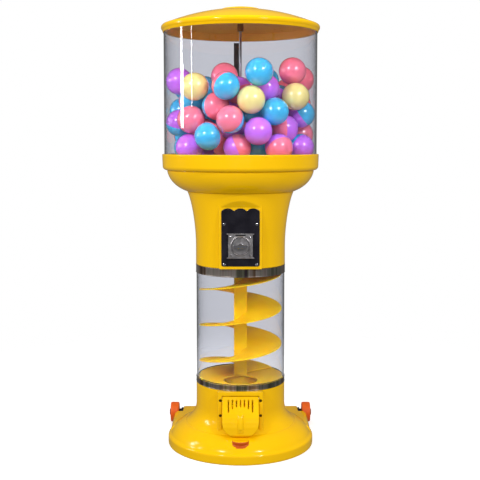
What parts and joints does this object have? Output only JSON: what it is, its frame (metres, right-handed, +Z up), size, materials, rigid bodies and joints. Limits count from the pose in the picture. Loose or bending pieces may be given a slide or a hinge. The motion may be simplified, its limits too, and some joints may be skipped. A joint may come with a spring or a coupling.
{
  "type": "gumball machine",
  "caption": "Tall gumball machine: clear globe of capsules, coin-operated neck, clear spiral tower, moulded base with a dispensing door and tilting wheels.",
  "frame": {"origin": "on the floor under the tower's vertical axis, at the base plate's underside", "axes": "+Z up along the tower, the front with the coin mechanism and the dispensing door faces -Y, +X is to the right seen from the front"},
  "size_m": [0.465, 0.465, 1.3],
  "materials": {
    "yellow_plastic": "smooth gloss moulding",
    "yellow_satin_plastic": "soft gloss moulding",
    "clear_acrylic": "clear, rolled from sheet",
    "orange_plastic": "translucent amber moulding, soft gloss",
    "dark_band": "dark streaky stainless",
    "black_plate": "satin black powder coat",
    "chrome": "polished plating",
    "cast_metal": "tumbled casting, plated",
    "zinc_steel": "zinc plated",
    "grey_steel": "grey paint",
    "white_plastic": "matt moulding",
    "brown_plastic": "matt gear plastic",
    "bush_plastic": "waxy bearing plastic",
    "orange_rubber": "cast polyurethane",
    "black_metal": "black oxide",
    "black_strip": "dark sealing strip",
    "lock_metal": "dull plated brass",
    "capsule_two_tone": "glossy halves in two colours",
    "capsule_plain": "glossy, one colour each"
  },
  "bodies": {
    "machine": {"base_shell": "yellow_plastic", "base_plate": "black_strip", "door_frame": "yellow_plastic", "door_frame_screws": "lock_metal", "door_hinge_pin": "zinc_steel", "dispense_tray": "orange_plastic", "floor_plate": "orange_plastic", "lower_band": "dark_band", "tower_tube": "clear_acrylic", "upper_band": "dark_band", "spiral_column": "orange_plastic", "spiral_turn_1": "orange_plastic", "spiral_turn_2": "orange_plastic", "spiral_turn_3": "orange_plastic", "neck_shell": "yellow_plastic", "neck_floor": "orange_plastic", "mech_plate": "black_plate", "mech_plate_screws": "chrome", "mech_face": "cast_metal", "mech_face_rivets": "chrome", "mech_housing": "grey_steel", "drive_bracket": "grey_steel", "hub_bush": "bush_plastic", "wheel_deck": "white_plastic", "drop_guard": "white_plastic", "drop_chute": "orange_plastic", "coin_chute": "zinc_steel", "cash_box": "grey_steel", "cash_door_pin": "zinc_steel", "hopper_funnel": "yellow_satin_plastic", "hopper_bowl": "yellow_plastic", "bowl_screws": "zinc_steel", "rod_crossbar": "grey_steel", "centre_rod": "zinc_steel", "rod_nuts": "zinc_steel", "collar_ring": "yellow_plastic", "globe_tube": "clear_acrylic", "globe_joint_strip": "black_strip", "wheel_bolts": "black_metal", "wheel_brackets": "black_metal", "capsules_two_tone": "capsule_two_tone", "capsules_plain": "capsule_plain"},
    "lid": {"lid": "yellow_plastic", "lid_lock_barrel": "lock_metal"},
    "lid_cap": {"lid_cap": "yellow_plastic"},
    "crank": {"coin_dial": "cast_metal", "crank_handle": "chrome", "mech_shaft": "zinc_steel", "mech_pinion": "brown_plastic"},
    "drive": {"drive_shaft": "zinc_steel", "face_gear": "brown_plastic", "wheel_pinion": "brown_plastic"},
    "rotor": {"capsule_wheel": "white_plastic", "wheel_gear": "brown_plastic"},
    "door_flap": {"door_flap": "yellow_plastic"},
    "cash_door": {"cash_door": "yellow_plastic"},
    "cash_lock": {"cash_lock": "chrome"},
    "wheel_left": {"wheel_left": "orange_rubber"},
    "wheel_right": {"wheel_right": "orange_rubber"}
  },
  "joints": [
    {"name": "lid_lift", "type": "slide", "parent": "machine", "child": "lid", "axis": [0, 0, 1], "range_m": [0, 0.16]},
    {"name": "cap_turn", "type": "hinge", "parent": "lid", "child": "lid_cap", "pos_m": [0, 0, 1.29], "axis": [0, 0, 1], "continuous": true},
    {"name": "crank_turn", "type": "hinge", "parent": "machine", "child": "crank", "pos_m": [0, -0.12, 0.613], "axis": [0, 1, 0], "continuous": true},
    {"name": "drive_turn", "type": "hinge", "parent": "machine", "child": "drive", "pos_m": [0, -0.06, 0.7], "axis": [0, 0, 1], "continuous": true},
    {"name": "rotor_turn", "type": "hinge", "parent": "machine", "child": "rotor", "pos_m": [0, 0, 0.8], "axis": [0, 0, 1], "continuous": true},
    {"name": "flap_swing", "type": "hinge", "parent": "machine", "child": "door_flap", "pos_m": [0, -0.14, 0.172], "axis": [-1, 0, 0], "range_deg": [0, 75]},
    {"name": "cash_door_swing", "type": "hinge", "parent": "machine", "child": "cash_door", "pos_m": [-0.06395, 0.12089, 0.5865], "axis": [0, 0, -1], "range_deg": [0, 100]},
    {"name": "cash_lock_turn", "type": "hinge", "parent": "cash_door", "child": "cash_lock", "pos_m": [-0.11504, 0.05737, 0.5865], "axis": [-0.766, 0.6428, 0], "range_deg": [0, 90]},
    {"name": "wheel_left_spin", "type": "hinge", "parent": "machine", "child": "wheel_left", "pos_m": [-0.212, 0.184, 0.034], "axis": [1, 0, 0], "continuous": true},
    {"name": "wheel_right_spin", "type": "hinge", "parent": "machine", "child": "wheel_right", "pos_m": [0.212, 0.184, 0.034], "axis": [1, 0, 0], "continuous": true}
  ],
  "couplings": [
    {"joint": "drive_turn", "follows": "crank_turn", "ratio": 0.5},
    {"joint": "rotor_turn", "follows": "crank_turn", "ratio": -0.16667}
  ]
}
